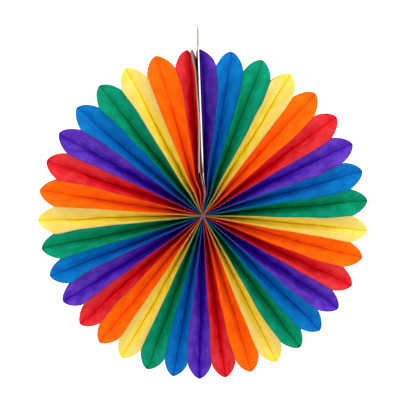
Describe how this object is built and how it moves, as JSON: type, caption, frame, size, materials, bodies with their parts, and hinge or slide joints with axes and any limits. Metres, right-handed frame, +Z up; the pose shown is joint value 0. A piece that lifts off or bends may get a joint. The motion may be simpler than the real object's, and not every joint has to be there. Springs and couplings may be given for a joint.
{
  "type": "hanging paper honeycomb fan",
  "caption": "Flat honeycomb tissue fan opened to a full circle of pointed, V-grooved petals in six colours, between two board covers, one with a hanging tab.",
  "frame": {"origin": "centre of the hanging hole in the right cover's tab", "axes": "+Z up, +X to the right seen from the front, +Y away from the viewer along the hub's axis"},
  "size_m": [0.4496, 0.0564, 0.4796],
  "materials": {
    "tissue_purple": "thin matt tissue",
    "tissue_blue": "thin matt tissue",
    "tissue_green": "thin matt tissue",
    "tissue_yellow": "thin matt tissue",
    "tissue_orange": "thin matt tissue",
    "tissue_red": "thin matt tissue",
    "greyboard": "uncoated greyboard",
    "red_facing": "dark red facing paper",
    "buff_facing": "pinkish buff facing paper",
    "foam_pad": "grey-brown foam",
    "cotton_thread": "twisted cotton"
  },
  "bodies": {
    "hanging_cover": {"right_cover": "greyboard", "right_facing": "red_facing", "closing_pad": "foam_pad", "binding_thread": "cotton_thread", "petal_01_purple": "tissue_purple"},
    "left_cover": {"left_cover": "greyboard", "left_facing": "buff_facing", "petal_36_red": "tissue_red"},
    "petal_02": {"petal_02_blue": "tissue_blue"},
    "petal_03": {"petal_03_green": "tissue_green"},
    "petal_04": {"petal_04_yellow": "tissue_yellow"},
    "petal_05": {"petal_05_orange": "tissue_orange"},
    "petal_06": {"petal_06_red": "tissue_red"},
    "petal_07": {"petal_07_purple": "tissue_purple"},
    "petal_08": {"petal_08_blue": "tissue_blue"},
    "petal_09": {"petal_09_green": "tissue_green"},
    "petal_10": {"petal_10_yellow": "tissue_yellow"},
    "petal_11": {"petal_11_orange": "tissue_orange"},
    "petal_12": {"petal_12_red": "tissue_red"},
    "petal_13": {"petal_13_purple": "tissue_purple"},
    "petal_14": {"petal_14_blue": "tissue_blue"},
    "petal_15": {"petal_15_green": "tissue_green"},
    "petal_16": {"petal_16_yellow": "tissue_yellow"},
    "petal_17": {"petal_17_orange": "tissue_orange"},
    "petal_18": {"petal_18_red": "tissue_red"},
    "petal_19": {"petal_19_purple": "tissue_purple"},
    "petal_20": {"petal_20_blue": "tissue_blue"},
    "petal_21": {"petal_21_green": "tissue_green"},
    "petal_22": {"petal_22_yellow": "tissue_yellow"},
    "petal_23": {"petal_23_orange": "tissue_orange"},
    "petal_24": {"petal_24_red": "tissue_red"},
    "petal_25": {"petal_25_purple": "tissue_purple"},
    "petal_26": {"petal_26_blue": "tissue_blue"},
    "petal_27": {"petal_27_green": "tissue_green"},
    "petal_28": {"petal_28_yellow": "tissue_yellow"},
    "petal_29": {"petal_29_orange": "tissue_orange"},
    "petal_30": {"petal_30_red": "tissue_red"},
    "petal_31": {"petal_31_purple": "tissue_purple"},
    "petal_32": {"petal_32_blue": "tissue_blue"},
    "petal_33": {"petal_33_green": "tissue_green"},
    "petal_34": {"petal_34_yellow": "tissue_yellow"},
    "petal_35": {"petal_35_orange": "tissue_orange"}
  },
  "joints": [
    {"name": "fan_fold", "type": "hinge", "parent": "hanging_cover", "child": "left_cover", "pos_m": [-0.00105, 0, -0.247], "axis": [0, -1, 0], "range_deg": [0, 352.7], "deforming": ["petal_01_purple", "petal_36_red", "binding_thread"]},
    {"name": "petal_02_turn", "type": "hinge", "parent": "hanging_cover", "child": "petal_02", "pos_m": [-0.00105, 0, -0.247], "axis": [0, -1, 0], "range_deg": [0, 10.5], "deforming": ["petal_02_blue"]},
    {"name": "petal_03_turn", "type": "hinge", "parent": "hanging_cover", "child": "petal_03", "pos_m": [-0.00105, 0, -0.247], "axis": [0, -1, 0], "range_deg": [0, 21.48], "deforming": ["petal_03_green"]},
    {"name": "petal_04_turn", "type": "hinge", "parent": "hanging_cover", "child": "petal_04", "pos_m": [-0.00105, 0, -0.247], "axis": [0, -1, 0], "range_deg": [0, 32.4], "deforming": ["petal_04_yellow"]},
    {"name": "petal_05_turn", "type": "hinge", "parent": "hanging_cover", "child": "petal_05", "pos_m": [-0.00105, 0, -0.247], "axis": [0, -1, 0], "range_deg": [0, 43.25], "deforming": ["petal_05_orange"]},
    {"name": "petal_06_turn", "type": "hinge", "parent": "hanging_cover", "child": "petal_06", "pos_m": [-0.00105, 0, -0.247], "axis": [0, -1, 0], "range_deg": [0, 53.99], "deforming": ["petal_06_red"]},
    {"name": "petal_07_turn", "type": "hinge", "parent": "hanging_cover", "child": "petal_07", "pos_m": [-0.00105, 0, -0.247], "axis": [0, -1, 0], "range_deg": [0, 64.61], "deforming": ["petal_07_purple"]},
    {"name": "petal_08_turn", "type": "hinge", "parent": "hanging_cover", "child": "petal_08", "pos_m": [-0.00105, 0, -0.247], "axis": [0, -1, 0], "range_deg": [0, 75.09], "deforming": ["petal_08_blue"]},
    {"name": "petal_09_turn", "type": "hinge", "parent": "hanging_cover", "child": "petal_09", "pos_m": [-0.00105, 0, -0.247], "axis": [0, -1, 0], "range_deg": [0, 85.42], "deforming": ["petal_09_green"]},
    {"name": "petal_10_turn", "type": "hinge", "parent": "hanging_cover", "child": "petal_10", "pos_m": [-0.00105, 0, -0.247], "axis": [0, -1, 0], "range_deg": [0, 95.59], "deforming": ["petal_10_yellow"]},
    {"name": "petal_11_turn", "type": "hinge", "parent": "hanging_cover", "child": "petal_11", "pos_m": [-0.00105, 0, -0.247], "axis": [0, -1, 0], "range_deg": [0, 105.61], "deforming": ["petal_11_orange"]},
    {"name": "petal_12_turn", "type": "hinge", "parent": "hanging_cover", "child": "petal_12", "pos_m": [-0.00105, 0, -0.247], "axis": [0, -1, 0], "range_deg": [0, 115.48], "deforming": ["petal_12_red"]},
    {"name": "petal_13_turn", "type": "hinge", "parent": "hanging_cover", "child": "petal_13", "pos_m": [-0.00105, 0, -0.247], "axis": [0, -1, 0], "range_deg": [0, 125.2], "deforming": ["petal_13_purple"]},
    {"name": "petal_14_turn", "type": "hinge", "parent": "hanging_cover", "child": "petal_14", "pos_m": [-0.00105, 0, -0.247], "axis": [0, -1, 0], "range_deg": [0, 134.78], "deforming": ["petal_14_blue"]},
    {"name": "petal_15_turn", "type": "hinge", "parent": "hanging_cover", "child": "petal_15", "pos_m": [-0.00105, 0, -0.247], "axis": [0, -1, 0], "range_deg": [0, 144.26], "deforming": ["petal_15_green"]},
    {"name": "petal_16_turn", "type": "hinge", "parent": "hanging_cover", "child": "petal_16", "pos_m": [-0.00105, 0, -0.247], "axis": [0, -1, 0], "range_deg": [0, 153.64], "deforming": ["petal_16_yellow"]},
    {"name": "petal_17_turn", "type": "hinge", "parent": "hanging_cover", "child": "petal_17", "pos_m": [-0.00105, 0, -0.247], "axis": [0, -1, 0], "range_deg": [0, 162.95], "deforming": ["petal_17_orange"]},
    {"name": "petal_18_turn", "type": "hinge", "parent": "hanging_cover", "child": "petal_18", "pos_m": [-0.00105, 0, -0.247], "axis": [0, -1, 0], "range_deg": [0, 172.22], "deforming": ["petal_18_red"]},
    {"name": "petal_19_turn", "type": "hinge", "parent": "hanging_cover", "child": "petal_19", "pos_m": [-0.00105, 0, -0.247], "axis": [0, -1, 0], "range_deg": [0, 181.48], "deforming": ["petal_19_purple"]},
    {"name": "petal_20_turn", "type": "hinge", "parent": "hanging_cover", "child": "petal_20", "pos_m": [-0.00105, 0, -0.247], "axis": [0, -1, 0], "range_deg": [0, 190.75], "deforming": ["petal_20_blue"]},
    {"name": "petal_21_turn", "type": "hinge", "parent": "hanging_cover", "child": "petal_21", "pos_m": [-0.00105, 0, -0.247], "axis": [0, -1, 0], "range_deg": [0, 200.06], "deforming": ["petal_21_green"]},
    {"name": "petal_22_turn", "type": "hinge", "parent": "hanging_cover", "child": "petal_22", "pos_m": [-0.00105, 0, -0.247], "axis": [0, -1, 0], "range_deg": [0, 209.44], "deforming": ["petal_22_yellow"]},
    {"name": "petal_23_turn", "type": "hinge", "parent": "hanging_cover", "child": "petal_23", "pos_m": [-0.00105, 0, -0.247], "axis": [0, -1, 0], "range_deg": [0, 218.92], "deforming": ["petal_23_orange"]},
    {"name": "petal_24_turn", "type": "hinge", "parent": "hanging_cover", "child": "petal_24", "pos_m": [-0.00105, 0, -0.247], "axis": [0, -1, 0], "range_deg": [0, 228.5], "deforming": ["petal_24_red"]},
    {"name": "petal_25_turn", "type": "hinge", "parent": "hanging_cover", "child": "petal_25", "pos_m": [-0.00105, 0, -0.247], "axis": [0, -1, 0], "range_deg": [0, 238.22], "deforming": ["petal_25_purple"]},
    {"name": "petal_26_turn", "type": "hinge", "parent": "hanging_cover", "child": "petal_26", "pos_m": [-0.00105, 0, -0.247], "axis": [0, -1, 0], "range_deg": [0, 248.09], "deforming": ["petal_26_blue"]},
    {"name": "petal_27_turn", "type": "hinge", "parent": "hanging_cover", "child": "petal_27", "pos_m": [-0.00105, 0, -0.247], "axis": [0, -1, 0], "range_deg": [0, 258.11], "deforming": ["petal_27_green"]},
    {"name": "petal_28_turn", "type": "hinge", "parent": "hanging_cover", "child": "petal_28", "pos_m": [-0.00105, 0, -0.247], "axis": [0, -1, 0], "range_deg": [0, 268.28], "deforming": ["petal_28_yellow"]},
    {"name": "petal_29_turn", "type": "hinge", "parent": "hanging_cover", "child": "petal_29", "pos_m": [-0.00105, 0, -0.247], "axis": [0, -1, 0], "range_deg": [0, 278.61], "deforming": ["petal_29_orange"]},
    {"name": "petal_30_turn", "type": "hinge", "parent": "hanging_cover", "child": "petal_30", "pos_m": [-0.00105, 0, -0.247], "axis": [0, -1, 0], "range_deg": [0, 289.09], "deforming": ["petal_30_red"]},
    {"name": "petal_31_turn", "type": "hinge", "parent": "hanging_cover", "child": "petal_31", "pos_m": [-0.00105, 0, -0.247], "axis": [0, -1, 0], "range_deg": [0, 299.71], "deforming": ["petal_31_purple"]},
    {"name": "petal_32_turn", "type": "hinge", "parent": "hanging_cover", "child": "petal_32", "pos_m": [-0.00105, 0, -0.247], "axis": [0, -1, 0], "range_deg": [0, 310.45], "deforming": ["petal_32_blue"]},
    {"name": "petal_33_turn", "type": "hinge", "parent": "hanging_cover", "child": "petal_33", "pos_m": [-0.00105, 0, -0.247], "axis": [0, -1, 0], "range_deg": [0, 321.3], "deforming": ["petal_33_green"]},
    {"name": "petal_34_turn", "type": "hinge", "parent": "hanging_cover", "child": "petal_34", "pos_m": [-0.00105, 0, -0.247], "axis": [0, -1, 0], "range_deg": [0, 332.23], "deforming": ["petal_34_yellow"]},
    {"name": "petal_35_turn", "type": "hinge", "parent": "hanging_cover", "child": "petal_35", "pos_m": [-0.00105, 0, -0.247], "axis": [0, -1, 0], "range_deg": [0, 343.2], "deforming": ["petal_35_orange"]}
  ],
  "couplings": [
    {"joint": "petal_02_turn", "follows": "fan_fold", "ratio": 0.02834},
    {"joint": "petal_03_turn", "follows": "fan_fold", "ratio": 0.05947},
    {"joint": "petal_04_turn", "follows": "fan_fold", "ratio": 0.09045},
    {"joint": "petal_05_turn", "follows": "fan_fold", "ratio": 0.1212},
    {"joint": "petal_06_turn", "follows": "fan_fold", "ratio": 0.15166},
    {"joint": "petal_07_turn", "follows": "fan_fold", "ratio": 0.18177},
    {"joint": "petal_08_turn", "follows": "fan_fold", "ratio": 0.21148},
    {"joint": "petal_09_turn", "follows": "fan_fold", "ratio": 0.24078},
    {"joint": "petal_10_turn", "follows": "fan_fold", "ratio": 0.26962},
    {"joint": "petal_11_turn", "follows": "fan_fold", "ratio": 0.29802},
    {"joint": "petal_12_turn", "follows": "fan_fold", "ratio": 0.32599},
    {"joint": "petal_13_turn", "follows": "fan_fold", "ratio": 0.35355},
    {"joint": "petal_14_turn", "follows": "fan_fold", "ratio": 0.38073},
    {"joint": "petal_15_turn", "follows": "fan_fold", "ratio": 0.40759},
    {"joint": "petal_16_turn", "follows": "fan_fold", "ratio": 0.43419},
    {"joint": "petal_17_turn", "follows": "fan_fold", "ratio": 0.46059},
    {"joint": "petal_18_turn", "follows": "fan_fold", "ratio": 0.48688},
    {"joint": "petal_19_turn", "follows": "fan_fold", "ratio": 0.51312},
    {"joint": "petal_20_turn", "follows": "fan_fold", "ratio": 0.53941},
    {"joint": "petal_21_turn", "follows": "fan_fold", "ratio": 0.56581},
    {"joint": "petal_22_turn", "follows": "fan_fold", "ratio": 0.59241},
    {"joint": "petal_23_turn", "follows": "fan_fold", "ratio": 0.61927},
    {"joint": "petal_24_turn", "follows": "fan_fold", "ratio": 0.64645},
    {"joint": "petal_25_turn", "follows": "fan_fold", "ratio": 0.67401},
    {"joint": "petal_26_turn", "follows": "fan_fold", "ratio": 0.70198},
    {"joint": "petal_27_turn", "follows": "fan_fold", "ratio": 0.73038},
    {"joint": "petal_28_turn", "follows": "fan_fold", "ratio": 0.75922},
    {"joint": "petal_29_turn", "follows": "fan_fold", "ratio": 0.78852},
    {"joint": "petal_30_turn", "follows": "fan_fold", "ratio": 0.81823},
    {"joint": "petal_31_turn", "follows": "fan_fold", "ratio": 0.84834},
    {"joint": "petal_32_turn", "follows": "fan_fold", "ratio": 0.8788},
    {"joint": "petal_33_turn", "follows": "fan_fold", "ratio": 0.90955},
    {"joint": "petal_34_turn", "follows": "fan_fold", "ratio": 0.94053},
    {"joint": "petal_35_turn", "follows": "fan_fold", "ratio": 0.97166}
  ]
}
